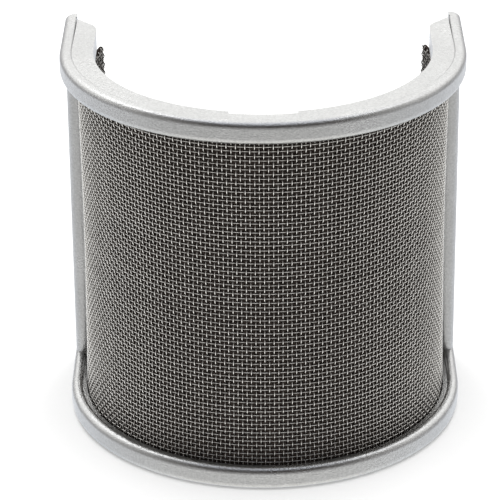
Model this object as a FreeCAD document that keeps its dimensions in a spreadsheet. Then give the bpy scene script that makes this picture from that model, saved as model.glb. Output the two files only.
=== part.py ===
"""U-shaped microphone pop filter, built as the pieces that are assembled to make it.

Frame: +Z up, the base at z = 0, +Y towards the open back and +X to the right. The origin is the bottom
centre of the whole object. Every body is drawn about the microphone's axis, which is the centre of the
curved front, and its Placement then moves it to the origin. Millimetres.
"""

import FreeCAD
import Part
import Sketcher

import math
import os

TOLERANCE = 1e-3
SMALLEST_CUT = 1e-6

# Driving dimensions, in millimetres.
DRIVING = {
    "outer_radius": 45.0,      # outside of both rims
    "ring_width": 7.5,         # outside of a rim to the inside of its ring
    "arm_length": 22.5,        # microphone axis to the tips of the arms
    "total_height": 86.9,
    "rim_height": 5.05,
    "rim_width": 3.5,          # solid part of a rim, outside of the screens
    "lip_width": 2.7,          # strip of a rim left beside the retaining ring
    "plate_thick": 1.5,        # flat plate of a retaining ring
    "plate_drop": 0.45,        # plate, below the crown of its rim
    "crease_round": 0.4,       # edge of a rim beside the plate
    "ledge_drop": 0.75,        # ledge where the outer screen enters a rim, below its crown
    "ledge_radius": 42.5,
    "ledge_round": 0.7,        # edge of a rim beside the ledge
    "ledge_end": 11.9,
    "wall_thick": 1.7,         # upright wall of a retaining ring
    "play": 0.05,              # clearance of sliding fits
    "mesh_thick": 0.6,
    "foam_thick": 1.0,
    "cut_margin": 1.0,         # overshoot of an outline that cuts
    "edge_round": 1.4,         # outer edges of a rim
    "tip_round": 2.4,          # corners at the tips of the arms
    "seam_start": 2.0,         # where the seam between rim and ring begins to open
    "seam_gap": 0.2,           # how far it has opened at the ring's end
    "plate_reach": 19.2,       # end of a ring beside the rim
    "plate_inner_reach": 14.3,  # end of a ring at its inner edge
    "plate_round": 5.0,        # inner corner of a ring's end
    "notch_half": 7.25,        # shallow notch at the front of each ring
    "notch_depth": 1.1,
    "post_front": 12.0,
    "post_rear": 19.0,
    "post_inset": 0.2,         # outside of a post, inward of the rims
    "post_round": 2.4,
    "leg_front": 14.0,         # front of the post's inner leg
    "leg_thick": 0.9,
    "slot_end": 17.5,          # bottom of the post's slot for the outer screen
    "tenon_front": 14.0,
    "tenon_rear": 17.8,
    "tenon_inset": 1.5,        # outside of a tenon, inward of the rims
    "tenon_width": 1.5,
    "tenon_length": 2.0,
    "flap_start": 5.0,         # where the free ends of the inner screen leave their slot
    "flap_mid": 13.0,
    "flap_end": 18.9,
    "flap_lean_mid": 1.5,      # lean of the free ends towards the microphone
    "flap_lean_end": 2.7,
    "flap_margin": 1.8,        # height lost at top and bottom of the free ends
    "peg_x": 41.4,             # band pegs on the posts
    "peg_radius": 1.3,
    "peg_length": 2.6,
    "peg_head_radius": 2.3,
    "peg_head_thick": 0.9,
    "peg_head_round": 0.3,
    "lower_band_z": 28.0,
    "upper_band_z": 54.0,
    "band_radius": 1.0,
    "foot_front": 17.0,        # screw boss behind the foot of each post
    "foot_rear": 22.0,
    "foot_height": 7.6,
    "foot_round": 2.2,
    "screw_x": 43.1,
    "screw_y": 20.6,
    "screw_radius": 0.6,
    "screw_length": 10.0,
    "screw_head_radius": 1.1,
    "screw_head_thick": 0.8,
    "screw_recess": 0.3,       # depth of the screw's head below the rim's underside
    "thread_play": 0.01,
    "drill_point": 0.5,        # hole beyond the screw's end
    "drive_length": 1.4,       # cross recess in the head
    "drive_width": 0.35,
    "drive_depth": 0.45,
}

# Dimensions worked out from the driving ones.
DERIVED = {
    "axis_y": "(outer_radius - arm_length) / 2",
    "top_rim_z": "total_height - rim_height",
    "ring_inner": "outer_radius - ring_width",
    "rim_inner": "outer_radius - rim_width",
    "lip_inner": "outer_radius - lip_width",
    "rebate_inner": "rim_inner - cut_margin",
    "rebate_depth": "plate_drop + plate_thick",
    "rebate_reach": "plate_reach + play",
    "rebate_through": "arm_length + cut_margin",
    "ring_height": "rim_height - plate_drop",
    "plate_level": "ring_height - plate_thick",
    "plate_tail": "lip_inner - seam_gap",
    "wall_outer": "ring_inner + wall_thick",
    "plate_slope": "(plate_reach - plate_inner_reach) / (plate_tail - ring_inner)",
    "wall_reach": "plate_inner_reach + plate_slope * wall_thick",
    "notch_radius": "ring_inner + notch_depth",
    "notch_back": "ring_inner - cut_margin",
    "mesh_outer": "rim_inner - play",
    "mesh_inner": "mesh_outer - mesh_thick",
    "foam_outer": "mesh_inner",
    "foam_inner": "foam_outer - foam_thick",
    "lining_outer": "foam_inner",
    "lining_inner": "lining_outer - mesh_thick",
    "mesh_reach": "slot_end - play",
    "screen_height": "total_height - 2 * rebate_depth - 2 * play",
    "screen_base": "rebate_depth + play",
    "flap_height": "total_height - 2 * rim_height - 2 * flap_margin",
    "flap_offset": "rim_height + flap_margin - screen_base",
    "flap_mid_outer": "lining_outer - flap_lean_mid",
    "flap_mid_inner": "lining_inner - flap_lean_mid",
    "flap_mid_foam": "foam_outer - flap_lean_mid",
    "flap_end_outer": "lining_outer - flap_lean_end",
    "flap_end_inner": "lining_inner - flap_lean_end",
    "flap_end_foam": "foam_outer - flap_lean_end",
    "post_outer": "outer_radius - post_inset",
    "post_height": "total_height - 2 * rim_height",
    "slot_inner": "mesh_inner - play",
    "leg_inner": "slot_inner - leg_thick",
    "tenon_outer": "outer_radius - tenon_inset",
    "tenon_inner": "tenon_outer - tenon_width",
    "tenon_base": "rim_height - tenon_length",
    "tenon_height": "post_height + 2 * tenon_length",
    "socket_outer": "tenon_outer + play",
    "socket_inner": "tenon_inner - play",
    "socket_front": "tenon_front - play",
    "socket_rear": "tenon_rear + play",
    "socket_depth": "tenon_length + play",
    "peg_head_y": "post_rear + peg_length",
    "band_y": "post_rear + peg_length / 2",
    "band_bend": "peg_radius + band_radius + play",
    "screw_bore_base": "screw_recess + screw_head_thick",
    "screw_tip": "screw_bore_base + screw_length + drill_point",
    "head_bore_radius": "screw_head_radius + play",
    "pilot_radius": "screw_radius + thread_play",
}

doc = FreeCAD.newDocument("pop_filter")
sheet = doc.addObject("Spreadsheet::Sheet", "Sizes")


def fill_sheet():
    """Write every dimension to the sheet, one row each: the name in column A, the value in column B."""
    rows = [(name, str(value)) for name, value in DRIVING.items()]
    rows += [(name, "=" + formula) for name, formula in DERIVED.items()]
    for number, (name, content) in enumerate(rows, start=1):
        sheet.set(f"A{number}", name)
        sheet.setAlias(f"B{number}", name)
        sheet.set(f"B{number}", content)
    doc.recompute()


def size(name):
    """Value of a dimension whose name may start with a minus sign."""
    value = float(sheet.get(name.lstrip("-")))
    return -value if name.startswith("-") else value


def bound(name):
    """Expression that gives the same value as size."""
    sign = "-" if name.startswith("-") else ""
    return f"{sign}{sheet.Name}.{name.lstrip('-')}"


def mirrored(name):
    """The same dimension with the opposite sign."""
    return name[1:] if name.startswith("-") else "-" + name


def new_body(label, level=None):
    """Empty body drawn about the microphone's axis, with its underside at the named level."""
    body = doc.addObject("PartDesign::Body", label)
    body.Label = label
    body.setExpression("Placement.Base.y", bound("axis_y"))
    if level:
        body.setExpression("Placement.Base.z", bound(level))
    return body


def new_sketch(body, name, role="XY_Plane", offset=None):
    """Sketch on one of the body's own planes, moved along the plane's normal by the named offset."""
    sketch = body.newObject("Sketcher::SketchObject", name)
    plane = next(item for item in body.Origin.OriginFeatures if item.Role == role)
    sketch.AttachmentSupport = (plane, [""])
    sketch.MapMode = "FlatFace"
    if offset:
        sketch.setExpression("AttachmentOffset.Base.z", bound(offset))
    return sketch


def bind(sketch, kind, where, name):
    """Add a dimension to a sketch and bind it to a cell."""
    index = sketch.addConstraint(Sketcher.Constraint(kind, *where, size(name)))
    sketch.setExpression(f"Constraints[{index}]", bound(name))


def pin_vertex(sketch, geometry, end, point):
    """Hold one vertex at a point given by two dimension names; None means on the axis."""
    horizontal_axis, vertical_axis = -1, -2
    if point[0] is None:
        sketch.addConstraint(Sketcher.Constraint("PointOnObject", geometry, end, vertical_axis))
    else:
        bind(sketch, "DistanceX", (-1, 1, geometry, end), point[0])
    if point[1] is None:
        sketch.addConstraint(Sketcher.Constraint("PointOnObject", geometry, end, horizontal_axis))
    else:
        bind(sketch, "DistanceY", (-1, 1, geometry, end), point[1])


def at(point):
    """Position of a point given by two dimension names."""
    return FreeCAD.Vector(*[0.0 if name is None else size(name) for name in point], 0)


def add_chain(sketch, points):
    """Straight lines through the points; every point but the first is pinned. Returns the line numbers."""
    lines = []
    for start, end in zip(points, points[1:]):
        lines.append(sketch.addGeometry(Part.LineSegment(at(start), at(end))))
        if len(lines) > 1:
            sketch.addConstraint(Sketcher.Constraint("Coincident", lines[-2], 2, lines[-1], 1))
    for line, point in zip(lines[:-1], points[1:-1]):
        pin_vertex(sketch, line, 2, point)
    return lines


def add_polygon(sketch, points):
    """Closed outline through the points."""
    lines = add_chain(sketch, points + points[:1])
    sketch.addConstraint(Sketcher.Constraint("Coincident", lines[-1], 2, lines[0], 1))
    pin_vertex(sketch, lines[0], 1, points[0])


def add_half_circle(sketch, radius):
    """Half circle about the microphone's axis, from the left side round the front to the right side."""
    circle = Part.Circle(FreeCAD.Vector(0, 0, 0), FreeCAD.Vector(0, 0, 1), size(radius))
    arc = sketch.addGeometry(Part.ArcOfCircle(circle, math.pi, 2 * math.pi))
    sketch.addConstraint(Sketcher.Constraint("Coincident", arc, 3, -1, 1))
    bind(sketch, "Radius", (arc,), radius)
    sketch.addConstraint(Sketcher.Constraint("PointOnObject", arc, 1, -1))
    sketch.addConstraint(Sketcher.Constraint("PointOnObject", arc, 2, -1))
    return arc


def add_u_outline(sketch, outer, right_side, inner):
    """Closed U: two half circles at the front, joined on each side by lines through the same points."""
    outer_arc = add_half_circle(sketch, outer)
    inner_arc = add_half_circle(sketch, inner)
    right = [(outer, None)] + right_side + [(inner, None)]
    left = [(mirrored(x), y) for x, y in right]
    for chain, end in ((right, 2), (left, 1)):
        lines = add_chain(sketch, chain)
        sketch.addConstraint(Sketcher.Constraint("Coincident", outer_arc, end, lines[0], 1))
        sketch.addConstraint(Sketcher.Constraint("Coincident", lines[-1], 2, inner_arc, end))


def add_circle(sketch, centre, radius):
    """Circle with its centre pinned."""
    middle = at(centre)
    index = sketch.addGeometry(Part.Circle(middle, FreeCAD.Vector(0, 0, 1), size(radius)))
    pin_vertex(sketch, index, 3, centre)
    bind(sketch, "Radius", (index,), radius)


def pad(body, sketch, name, length, reverse=False):
    """Extrude a sketch along its plane's normal, or against it."""
    feature = body.newObject("PartDesign::Pad", name)
    feature.Profile = sketch
    feature.setExpression("Length", bound(length))
    feature.Reversed = reverse
    doc.recompute()
    return feature


def pocket(body, sketch, name, depth, upwards=False):
    """Cut a sketch down into the body, or up from its underside, and check that it removed material."""
    before = body.Shape.Volume
    feature = body.newObject("PartDesign::Pocket", name)
    feature.Profile = sketch
    feature.setExpression("Length", bound(depth))
    feature.Reversed = upwards
    doc.recompute()
    if body.Shape.Volume >= before - SMALLEST_CUT:
        raise RuntimeError(f"{body.Label}: {name} cut nothing")
    return feature


def round_edges(body, base, name, radius, wanted):
    """Fillet the edges of a feature for which wanted(edge) is true, and check that it worked."""
    chosen = [f"Edge{index}" for index, edge in enumerate(base.Shape.Edges, start=1) if wanted(edge)]
    if not chosen:
        raise RuntimeError(f"{body.Label}: {name} found no edge")
    feature = body.newObject("PartDesign::Fillet", name)
    feature.Base = (base, chosen)
    feature.setExpression("Radius", bound(radius))
    doc.recompute()
    if feature.Shape.isNull():
        raise RuntimeError(f"{body.Label}: {name} failed")
    return feature


def is_upright(edge):
    """True for a straight edge parallel to the height."""
    box = edge.BoundBox
    return box.XLength < TOLERANCE and box.YLength < TOLERANCE


def is_level(edge, height):
    """True for an edge that lies at one height of its body's own frame."""
    box = edge.BoundBox
    return abs(box.ZMin - height) < TOLERANCE and abs(box.ZMax - height) < TOLERANCE


def stands_at(edge, across, back):
    """True for an upright edge at the given distance to either side and the given distance back."""
    box = edge.BoundBox
    return is_upright(edge) and abs(abs(box.XMin) - across) < TOLERANCE and abs(box.YMin - back) < TOLERANCE


def runs_along(edge, reach, height):
    """True for a level edge that follows the U at the given reach; a fillet there runs on round the tips."""
    middle = edge.valueAt((edge.FirstParameter + edge.LastParameter) / 2)
    return is_level(edge, height) and abs(math.hypot(middle.x, min(middle.y, 0.0)) - reach) < TOLERANCE


def post_sockets(body, offset, name, upwards):
    """Sockets for the tenons of both posts."""
    for side, sign in (("left", True), ("right", False)):
        corners = [
            ("socket_inner", "socket_front"),
            ("socket_outer", "socket_front"),
            ("socket_outer", "socket_rear"),
            ("socket_inner", "socket_rear"),
        ]
        corners = [(mirrored(x) if sign else x, y) for x, y in corners]
        sketch = new_sketch(body, f"{name}_{side}_plan", offset=offset)
        add_polygon(sketch, corners)
        pocket(body, sketch, f"{name}_{side}", "socket_depth", upwards)


def make_rim(label, is_top):
    """Outer rim: a rounded U-shaped bar with a rebate for its ring, a ledge for the screen and post sockets."""
    body = new_body(label, "top_rim_z" if is_top else None)
    plan = new_sketch(body, "rim_plan")
    add_u_outline(plan, "outer_radius", [("outer_radius", "arm_length"), ("rim_inner", "arm_length")], "rim_inner")
    bar = pad(body, plan, "rim_bar", "rim_height")
    rounded = round_edges(
        body, bar, "tip_rounds", "tip_round",
        lambda edge: stands_at(edge, size("outer_radius"), size("arm_length")),
    )
    for name, height in (("upper_round", size("rim_height")), ("lower_round", 0.0)):
        rounded = round_edges(
            body, rounded, name, "edge_round",
            lambda edge: runs_along(edge, size("outer_radius"), height),
        )

    ring_side = "rim_height" if is_top else None
    screen_side = None if is_top else "rim_height"
    rebate_plan = new_sketch(body, "rebate_plan", offset=ring_side)
    rebate_ends = [("lip_inner", "rebate_reach"), ("rebate_inner", "rebate_reach")]
    add_u_outline(rebate_plan, "lip_inner", rebate_ends, "rebate_inner")
    rebate = pocket(body, rebate_plan, "rebate", "rebate_depth", upwards=not is_top)
    crown = size("rim_height") if is_top else 0.0
    round_edges(
        body, rebate, "crease_rounds", "crease_round",
        lambda edge: runs_along(edge, size("lip_inner"), crown),
    )
    if is_top:
        tail_plan = new_sketch(body, "rebate_tail_plan", offset=ring_side)
        corners = [
            ("rebate_inner", "plate_reach"),
            ("lip_inner", "plate_reach"),
            ("lip_inner", "rebate_through"),
            ("rebate_inner", "rebate_through"),
        ]
        add_polygon(tail_plan, corners)
        add_polygon(tail_plan, [(mirrored(x), y) for x, y in corners])
        pocket(body, tail_plan, "rebate_tails", "rebate_depth")
    ledge_plan = new_sketch(body, "ledge_plan", offset=screen_side)
    ledge_ends = [("ledge_radius", "ledge_end"), ("rebate_inner", "ledge_end")]
    add_u_outline(ledge_plan, "ledge_radius", ledge_ends, "rebate_inner")
    ledge = pocket(body, ledge_plan, "ledge", "ledge_drop", upwards=is_top)
    foot = 0.0 if is_top else size("rim_height")
    round_edges(
        body, ledge, "ledge_rounds", "ledge_round",
        lambda edge: runs_along(edge, size("ledge_radius"), foot),
    )
    post_sockets(body, screen_side, "socket", upwards=is_top)

    if not is_top:
        head_plan = new_sketch(body, "head_bore_plan")
        shank_plan = new_sketch(body, "shank_bore_plan")
        for x in ("screw_x", "-screw_x"):
            add_circle(head_plan, (x, "screw_y"), "head_bore_radius")
            add_circle(shank_plan, (x, "screw_y"), "pilot_radius")
        pocket(body, head_plan, "head_bore", "screw_bore_base", upwards=True)
        pocket(body, shank_plan, "shank_bore", "rim_height", upwards=True)
    return body


def make_inner_ring(label, is_top):
    """Retaining ring: a flat plate with an upright wall under it, which closes the slot for the screens."""
    body = new_body(label, "top_rim_z" if is_top else "plate_drop")
    wall_plan = new_sketch(body, "wall_plan")
    wall_ends = [("wall_outer", "wall_reach"), ("ring_inner", "plate_inner_reach")]
    add_u_outline(wall_plan, "wall_outer", wall_ends, "ring_inner")
    pad(body, wall_plan, "wall", "ring_height")

    plate_plan = new_sketch(body, "plate_plan", offset="plate_level" if is_top else None)
    plate_side = [
        ("lip_inner", "seam_start"),
        ("plate_tail", "plate_reach"),
        ("ring_inner", "plate_inner_reach"),
    ]
    add_u_outline(plate_plan, "lip_inner", plate_side, "ring_inner")
    pad(body, plate_plan, "plate", "plate_thick")

    notch_plan = new_sketch(body, "notch_plan", offset="ring_height")
    add_notch(notch_plan)
    notch = pocket(body, notch_plan, "notch", "ring_height")
    corner = (size("ring_inner"), size("plate_inner_reach"))
    round_edges(body, notch, "end_rounds", "plate_round", lambda edge: stands_at(edge, *corner))
    return body


def add_notch(sketch):
    """Outline of the notch: an arc about the microphone's axis, closed by three lines on its hollow side."""
    radius = size("notch_radius")
    half_angle = math.asin(size("notch_half") / radius)
    circle = Part.Circle(FreeCAD.Vector(0, 0, 0), FreeCAD.Vector(0, 0, 1), radius)
    front = 1.5 * math.pi
    arc = sketch.addGeometry(Part.ArcOfCircle(circle, front - half_angle, front + half_angle))
    sketch.addConstraint(Sketcher.Constraint("Coincident", arc, 3, -1, 1))
    bind(sketch, "Radius", (arc,), "notch_radius")
    bind(sketch, "DistanceX", (-1, 1, arc, 1), "-notch_half")
    bind(sketch, "DistanceX", (-1, 1, arc, 2), "notch_half")
    corner_depth = -radius * math.cos(half_angle)
    right_low = FreeCAD.Vector(size("notch_half"), corner_depth, 0)
    right_high = FreeCAD.Vector(size("notch_half"), -size("notch_back"), 0)
    left_high = FreeCAD.Vector(-size("notch_half"), -size("notch_back"), 0)
    left_low = FreeCAD.Vector(-size("notch_half"), corner_depth, 0)
    first = sketch.addGeometry(Part.LineSegment(right_low, right_high))
    second = sketch.addGeometry(Part.LineSegment(right_high, left_high))
    third = sketch.addGeometry(Part.LineSegment(left_high, left_low))
    sketch.addConstraint(Sketcher.Constraint("Coincident", arc, 2, first, 1))
    sketch.addConstraint(Sketcher.Constraint("Coincident", first, 2, second, 1))
    sketch.addConstraint(Sketcher.Constraint("Coincident", second, 2, third, 1))
    sketch.addConstraint(Sketcher.Constraint("Coincident", third, 2, arc, 1))
    sketch.addConstraint(Sketcher.Constraint("Vertical", first))
    sketch.addConstraint(Sketcher.Constraint("Vertical", third))
    sketch.addConstraint(Sketcher.Constraint("Horizontal", second))
    bind(sketch, "DistanceY", (-1, 1, second, 1), "-notch_back")


def make_post(label, side):
    """Post at the rear of one arm, with a slot for the outer screen, tenons, a screw boss and band pegs."""
    def across(name):
        return mirrored(name) if side == "left" else name

    body = new_body(label)
    plan = new_sketch(body, "post_plan", offset="rim_height")
    add_polygon(plan, [
        (across("rim_inner"), "post_front"),
        (across("post_outer"), "post_front"),
        (across("post_outer"), "post_rear"),
        (across("leg_inner"), "post_rear"),
        (across("leg_inner"), "leg_front"),
        (across("slot_inner"), "leg_front"),
        (across("slot_inner"), "slot_end"),
        (across("rim_inner"), "slot_end"),
    ])
    column = pad(body, plan, "column", "post_height")
    for name, back in (("front_round", "post_front"), ("rear_round", "post_rear")):
        column = round_edges(
            body, column, name, "post_round",
            lambda edge: stands_at(edge, size("post_outer"), size(back)),
        )

    tenon_plan = new_sketch(body, "tenon_plan", offset="tenon_base")
    add_polygon(tenon_plan, [
        (across("tenon_inner"), "tenon_front"),
        (across("tenon_outer"), "tenon_front"),
        (across("tenon_outer"), "tenon_rear"),
        (across("tenon_inner"), "tenon_rear"),
    ])
    pad(body, tenon_plan, "tenons", "tenon_height")

    foot_plan = new_sketch(body, "foot_plan", offset="rim_height")
    add_polygon(foot_plan, [
        (across("rim_inner"), "foot_front"),
        (across("post_outer"), "foot_front"),
        (across("post_outer"), "foot_rear"),
        (across("rim_inner"), "foot_rear"),
    ])
    foot = pad(body, foot_plan, "foot", "foot_height")
    round_edges(
        body, foot, "foot_rounds", "foot_round",
        lambda edge: stands_at(edge, size("post_outer"), size("foot_rear")),
    )
    pilot_plan = new_sketch(body, "pilot_plan")
    add_circle(pilot_plan, (across("screw_x"), "screw_y"), "pilot_radius")
    pocket(body, pilot_plan, "pilot_hole", "screw_tip", upwards=True)

    peg_plan = new_sketch(body, "peg_plan", "XZ_Plane", "-post_rear")
    head_plan = new_sketch(body, "peg_head_plan", "XZ_Plane", "-peg_head_y")
    for height in ("lower_band_z", "upper_band_z"):
        add_circle(peg_plan, (across("peg_x"), height), "peg_radius")
        add_circle(head_plan, (across("peg_x"), height), "peg_head_radius")
    pad(body, peg_plan, "pegs", "peg_length", reverse=True)
    heads = pad(body, head_plan, "peg_heads", "peg_head_thick", reverse=True)
    rear = size("arm_length")
    round_edges(
        body, heads, "peg_head_rounds", "peg_head_round",
        lambda edge: abs(edge.BoundBox.YMin - rear) < TOLERANCE and edge.BoundBox.YLength < TOLERANCE,
    )
    return body


def make_screen(label, outer, inner, reach):
    """One layer of the screen: a thin U that stands in the slots of both rims."""
    body = new_body(label, "screen_base")
    plan = new_sketch(body, "screen_plan")
    add_u_outline(plan, outer, [(outer, reach), (inner, reach)], inner)
    pad(body, plan, "sheet", "screen_height")
    return body


def add_free_ends(body, outside, inside):
    """Free rear ends of a layer, which lean towards the microphone; each face is named by its three reaches."""
    backs = ("flap_start", "flap_mid", "flap_end")
    for side in ("left", "right"):
        corners = list(zip(outside, backs)) + list(zip(inside, backs))[::-1]
        if side == "left":
            corners = [(mirrored(x), y) for x, y in corners]
        plan = new_sketch(body, f"{side}_flap_plan", offset="flap_offset")
        add_polygon(plan, corners)
        pad(body, plan, f"{side}_flap", "flap_height")


def new_primitive(kind, name, sizes, position, rotation=None):
    """Part primitive with its sizes and its position bound to the sheet."""
    item = doc.addObject(kind, name)
    for key, expression in sizes.items():
        item.setExpression(key, expression)
    if rotation:
        item.Placement = FreeCAD.Placement(FreeCAD.Vector(0, 0, 0), rotation)
    for key, expression in zip("xyz", position):
        item.setExpression(f"Placement.Base.{key}", expression)
    return item


def fuse(name, pieces):
    """One solid made of several overlapping or touching primitives."""
    item = doc.addObject("Part::MultiFuse", name)
    item.Shapes = pieces
    item.Refine = True
    return item


def make_screws(label):
    """The two screws that hold the bottom rim to the posts, with a cross recess in each head."""
    screws = []
    for side, x in (("left", "-Sizes.screw_x"), ("right", "Sizes.screw_x")):
        y = "Sizes.axis_y + Sizes.screw_y"
        head_sizes = {"Radius": "Sizes.screw_head_radius", "Height": "Sizes.screw_head_thick"}
        head = new_primitive("Part::Cylinder", f"{side}_head", head_sizes, (x, y, "Sizes.screw_recess"))
        shank_sizes = {"Radius": "Sizes.screw_radius", "Height": "Sizes.screw_length"}
        shank = new_primitive("Part::Cylinder", f"{side}_shank", shank_sizes, (x, y, "Sizes.screw_bore_base"))
        blank = fuse(f"{side}_screw_blank", [head, shank])
        long_side, short_side = "Sizes.drive_length", "Sizes.drive_width"
        bars = []
        for turn, along, beside in ((0, long_side, short_side), (1, short_side, long_side)):
            bar_sizes = {"Length": along, "Width": beside, "Height": "Sizes.drive_depth"}
            corner = (f"{x} - {along} / 2", f"{y} - {beside} / 2", "Sizes.screw_recess")
            bars.append(new_primitive("Part::Box", f"{side}_drive_{turn}", bar_sizes, corner))
        cross = fuse(f"{side}_drive", bars)
        screw = doc.addObject("Part::Cut", f"{side}_screw")
        screw.Base = blank
        screw.Tool = cross
        screws.append(screw)
    group = doc.addObject("Part::Compound", label)
    group.Label = label
    group.Links = screws
    return group


def make_band(label, height):
    """Elastic ring stretched between the pegs of both posts: two straight runs and two half turns."""
    y = "Sizes.axis_y + Sizes.band_y"
    level = f"Sizes.{height}"
    to_right = FreeCAD.Rotation(FreeCAD.Vector(0, 1, 0), 90)
    pieces = []
    for name, sign in (("low", "-"), ("high", "+")):
        run_sizes = {"Radius": "Sizes.band_radius", "Height": "2 * Sizes.peg_x"}
        start = ("-Sizes.peg_x", y, f"{level} {sign} Sizes.band_bend")
        pieces.append(new_primitive("Part::Cylinder", f"{label}_{name}_run", run_sizes, start, to_right))
    bend_sizes = {"Radius1": "Sizes.band_bend", "Radius2": "Sizes.band_radius", "Angle3": "180"}
    tilt = FreeCAD.Rotation(FreeCAD.Vector(1, 0, 0), 90)
    for name, sign, turn in (("left", "-", 90), ("right", "", -90)):
        rotation = FreeCAD.Rotation(FreeCAD.Vector(0, 1, 0), -turn).multiply(tilt)
        place = (f"{sign}Sizes.peg_x", y, level)
        pieces.append(new_primitive("Part::Torus", f"{label}_{name}_turn", bend_sizes, place, rotation))
    band = fuse(label, pieces)
    band.Label = label
    return band


def build():
    """Make every piece and return the objects to export."""
    fill_sheet()
    lining = make_screen("inner_mesh", "lining_outer", "lining_inner", "flap_start")
    foam = make_screen("foam_liner", "foam_outer", "foam_inner", "flap_start")
    back = ("foam_outer", "flap_mid_foam", "flap_end_foam")
    middle = ("lining_outer", "flap_mid_outer", "flap_end_outer")
    front = ("lining_inner", "flap_mid_inner", "flap_end_inner")
    add_free_ends(foam, back, middle)
    add_free_ends(lining, middle, front)
    return [
        make_rim("top_rim", True),
        make_rim("bottom_rim", False),
        make_inner_ring("top_inner_ring", True),
        make_inner_ring("bottom_inner_ring", False),
        make_post("left_post", "left"),
        make_post("right_post", "right"),
        make_screen("outer_mesh", "mesh_outer", "mesh_inner", "mesh_reach"),
        foam,
        lining,
        make_screws("foot_screws"),
        make_band("lower_band", "lower_band_z"),
        make_band("upper_band", "upper_band_z"),
    ]


def check(nodes):
    """Stop if any object failed to build or any piece is not a valid solid."""
    doc.recompute()
    for item in doc.Objects:
        bad = [state for state in item.State if state in ("Invalid", "Error")]
        if bad:
            raise RuntimeError(f"{item.Label}: {bad}")
    for node in nodes:
        shape = node.Shape
        if shape.isNull() or not shape.isValid() or not shape.Solids:
            raise RuntimeError(f"{node.Label}: not a valid solid")
        print(f"{node.Label:20s} solids {len(shape.Solids)}  volume {shape.Volume:9.1f} mm3")


def main():
    """Build, check and export one STEP file for each piece."""
    nodes = build()
    check(nodes)
    os.makedirs("parts", exist_ok=True)
    for node in nodes:
        node.Shape.exportStep(f"parts/{node.Label}.step")


main()
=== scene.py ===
"""Looks for the U-shaped microphone pop filter.

The painted frame, the posts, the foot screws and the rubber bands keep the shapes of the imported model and
are given their finishes here. The three layers of the screen are made here: two woven cloths of steel wire,
every wire a tube of its own, with a sheet of open foam between them.

Everything is in metres, with the base at z = 0, +X to the right and +Y towards the open back. The screen's
own sizes are given in millimetres, and its points become metres as they are made.
"""

import logging
import math
from dataclasses import dataclass
from enum import Enum
from typing import Sequence

import bpy
import numpy as np
from mathutils import Matrix, Vector

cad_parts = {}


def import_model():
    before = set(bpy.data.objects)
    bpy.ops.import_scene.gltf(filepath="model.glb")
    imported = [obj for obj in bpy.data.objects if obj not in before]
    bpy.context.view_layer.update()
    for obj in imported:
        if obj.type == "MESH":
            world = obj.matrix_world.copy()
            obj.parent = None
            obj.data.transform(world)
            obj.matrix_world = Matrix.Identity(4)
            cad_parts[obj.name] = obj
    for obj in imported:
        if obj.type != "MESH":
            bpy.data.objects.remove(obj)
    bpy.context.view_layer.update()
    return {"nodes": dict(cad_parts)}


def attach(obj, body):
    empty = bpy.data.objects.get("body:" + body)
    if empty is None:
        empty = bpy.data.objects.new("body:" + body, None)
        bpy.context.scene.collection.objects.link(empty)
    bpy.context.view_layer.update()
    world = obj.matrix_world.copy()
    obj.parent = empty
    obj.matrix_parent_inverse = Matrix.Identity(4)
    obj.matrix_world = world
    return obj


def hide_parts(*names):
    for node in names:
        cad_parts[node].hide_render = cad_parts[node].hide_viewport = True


MM = 0.001
TINY = 1e-6
# The wires' tone, which holds painted highlight on the crests and painted shade in the crossings.
WIRE_TONE_AND_SHADE = "wire_tone_and_shade"
log = logging.getLogger("pop_filter")

Triple = tuple[float, float, float]
Colour = tuple[float, float, float, float]


class Level(Enum):
    """The two ends of the frame."""

    TOP = "top"
    BOTTOM = "bottom"


class Side(Enum):
    """The two arms of the U."""

    LEFT = "left"
    RIGHT = "right"


class Lay(Enum):
    """The two families of wires in a woven cloth."""

    UPRIGHT = "upright"
    LEVEL = "level"

    def other(self) -> "Lay":
        """The family that this one crosses."""
        return Lay.LEVEL if self is Lay.UPRIGHT else Lay.UPRIGHT


# ---------------------------------------------------------------- meshes


def mesh_piece(name: str, points: np.ndarray, faces: Sequence[np.ndarray]) -> bpy.types.Object:
    """Makes a smooth-shaded object from whole arrays.

    Args:
        name: the object's name.
        points: (n, 3) positions in metres.
        faces: arrays of corner numbers, (m, k) each, all faces of one array having k corners.

    Returns:
        The new object, linked to the scene, at the origin.
    """
    corners = np.concatenate([f.ravel() for f in faces]).astype(np.int32)
    counts = np.concatenate([np.full(len(f), f.shape[1], np.int32) for f in faces])
    mesh = bpy.data.meshes.new(name)
    mesh.vertices.add(len(points))
    mesh.vertices.foreach_set("co", points.astype(np.float32).ravel())
    mesh.loops.add(len(corners))
    mesh.loops.foreach_set("vertex_index", corners)
    mesh.polygons.add(len(counts))
    mesh.polygons.foreach_set("loop_start", np.concatenate([[0], np.cumsum(counts)[:-1]]).astype(np.int32))
    mesh.polygons.foreach_set("use_smooth", np.ones(len(counts), bool))
    mesh.update(calc_edges=True)
    piece = bpy.data.objects.new(name, mesh)
    bpy.context.scene.collection.objects.link(piece)
    return piece


def tube_faces(tubes: int, stations: int, sides: int) -> list[np.ndarray]:
    """Faces of many equal tubes whose points are ordered by tube, station along it and side round it.

    Args:
        tubes: how many tubes there are.
        stations: cross-sections along each one.
        sides: points round each cross-section, anticlockwise seen from the tube's end.

    Returns:
        The quads of the walls, and the caps at the two ends.
    """
    first = np.arange(tubes)[:, None, None] * stations * sides
    ring = np.arange(stations - 1)[None, :, None] * sides
    side = np.arange(sides)[None, None, :]
    after = (side + 1) % sides
    here = first + ring
    walls = np.stack([here + side, here + after, here + sides + after, here + sides + side], axis=-1)
    start = np.arange(tubes)[:, None] * stations * sides + np.arange(sides)[::-1][None, :]
    end = np.arange(tubes)[:, None] * stations * sides + (stations - 1) * sides + np.arange(sides)[None, :]
    return [walls.reshape(-1, 4), start, end]


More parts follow.
